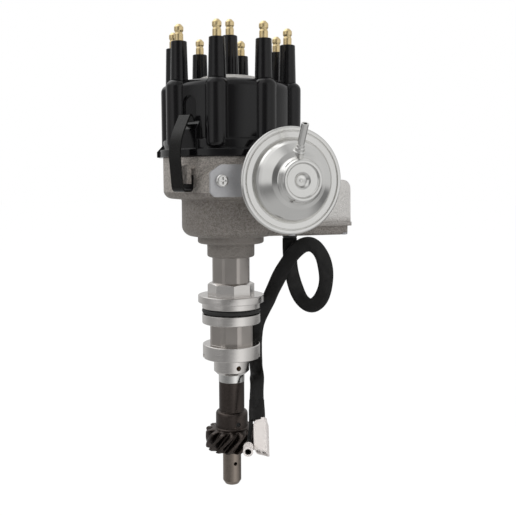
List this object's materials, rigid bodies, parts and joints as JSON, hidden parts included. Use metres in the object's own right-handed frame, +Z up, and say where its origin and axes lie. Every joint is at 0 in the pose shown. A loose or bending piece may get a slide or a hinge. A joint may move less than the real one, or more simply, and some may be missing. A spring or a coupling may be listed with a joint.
{
  "type": "ignition distributor",
  "caption": "Electronic ignition distributor with clip-on cap, brass posts, vacuum advance canister, side module box, wiring loom, helical drive gear and pump-drive shaft end.",
  "frame": {"origin": "on the shaft axis at the underside of the mounting flange", "axes": "+Z up along the shaft towards the cap; the vacuum canister faces mostly -Y and the module box lies towards +X"},
  "size_m": [0.1316, 0.123, 0.3153],
  "materials": {
    "cast": "satin",
    "cap_black": "gloss",
    "disc_grey": "matte",
    "brass": "polished",
    "zinc": "satin",
    "zinc_plate": "satin",
    "clip_black": "satin",
    "gear_steel": "satin",
    "shaft_steel": "satin",
    "bronze": "matte",
    "rubber_black": "matte",
    "dark_plastic": "matte",
    "white_plastic": "matte",
    "loom_black": "satin",
    "carbon": "matte"
  },
  "bodies": {
    "distributor_body": {"housing": "cast", "upper_bushing": "bronze", "lower_bushing": "bronze", "pilot_seal": "rubber_black", "base_plate": "zinc_plate", "base_plate_screws": "zinc_plate", "plate_snap_ring": "shaft_steel", "cap": "cap_black", "cap_towers": "cap_black", "cap_disc": "disc_grey", "plug_terminals": "brass", "coil_terminal": "brass", "button_spring": "shaft_steel", "vacuum_bracket": "zinc_plate", "bracket_screws": "zinc", "vacuum_rear_shell": "zinc", "vacuum_front_shell": "zinc", "vacuum_nipple": "zinc", "diaphragm": "rubber_black", "canister_spring": "shaft_steel", "module": "dark_plastic", "module_cover": "cast", "cover_screws": "zinc_plate", "loom_grommet": "rubber_black", "loom": "loom_black", "loom_boot": "loom_black", "two_way_plug": "white_plastic", "single_lead": "loom_black", "barrel_plug": "white_plastic"},
    "shaft_group": {"shaft": "shaft_steel", "thrust_ring": "zinc_plate", "drive_gear": "gear_steel", "gear_pin": "gear_steel", "advance_base": "zinc_plate", "weight_pins": "shaft_steel", "advance_springs": "shaft_steel"},
    "carrier_group": {"advance_carrier": "zinc_plate", "reluctor": "shaft_steel", "rotor": "dark_plastic", "rotor_blade": "brass", "rotor_screws": "zinc_plate"},
    "weight_a_body": {"advance_weight_a": "zinc_plate"},
    "weight_b_body": {"advance_weight_b": "zinc_plate"},
    "pull_body": {"pull_rod": "zinc_plate", "pull_cup": "zinc_plate"},
    "pickup_body": {"pickup_plate": "zinc_plate", "pickup_coil": "dark_plastic"},
    "clip_front_body": {"clip_front": "clip_black"},
    "clip_rear_body": {"clip_rear": "clip_black"},
    "button_body": {"carbon_button": "carbon"}
  },
  "joints": [
    {"name": "shaft_spin", "type": "hinge", "parent": "distributor_body", "child": "shaft_group", "pos_m": [0, 0, 0], "axis": [0, 0, 1], "continuous": true},
    {"name": "advance_turn", "type": "hinge", "parent": "shaft_group", "child": "carrier_group", "pos_m": [0, 0, 0.097], "axis": [0, 0, 1], "range_deg": [0, 12], "stiffness_Nm_per_rad": 0.4},
    {"name": "weight_a_swing", "type": "hinge", "parent": "shaft_group", "child": "weight_a_body", "pos_m": [0, -0.02, 0.055], "axis": [0, 0, 1], "range_deg": [-18, 0]},
    {"name": "weight_b_swing", "type": "hinge", "parent": "shaft_group", "child": "weight_b_body", "pos_m": [0, 0.02, 0.055], "axis": [0, 0, 1], "range_deg": [-18, 0]},
    {"name": "vacuum_pull", "type": "slide", "parent": "distributor_body", "child": "pull_body", "axis": [0.309, -0.9511, 0], "range_m": [0, 0.00336], "stiffness_N_per_m": 900},
    {"name": "pickup_turn", "type": "hinge", "parent": "distributor_body", "child": "pickup_body", "pos_m": [0, 0, 0.076], "axis": [0, 0, 1], "range_deg": [-10, 0]},
    {"name": "clip_front_swing", "type": "hinge", "parent": "distributor_body", "child": "clip_front_body", "pos_m": [-0.02909, -0.04079, 0.0799], "axis": [0.8141, -0.5807, 0], "range_deg": [0, 12], "stiffness_Nm_per_rad": 1.2},
    {"name": "clip_rear_swing", "type": "hinge", "parent": "distributor_body", "child": "clip_rear_body", "pos_m": [0.02909, 0.04079, 0.0799], "axis": [-0.8141, 0.5807, 0], "range_deg": [0, 12], "stiffness_Nm_per_rad": 1.2},
    {"name": "button_press", "type": "slide", "parent": "distributor_body", "child": "button_body", "axis": [0, 0, 1], "range_m": [0, 0.0015], "stiffness_N_per_m": 150, "deforming": ["button_spring"]}
  ],
  "couplings": [
    {"joint": "weight_a_swing", "follows": "advance_turn", "ratio": -1.5},
    {"joint": "weight_b_swing", "follows": "advance_turn", "ratio": -1.5},
    {"joint": "pickup_turn", "follows": "vacuum_pull", "rad_per_m": -51.944}
  ]
}
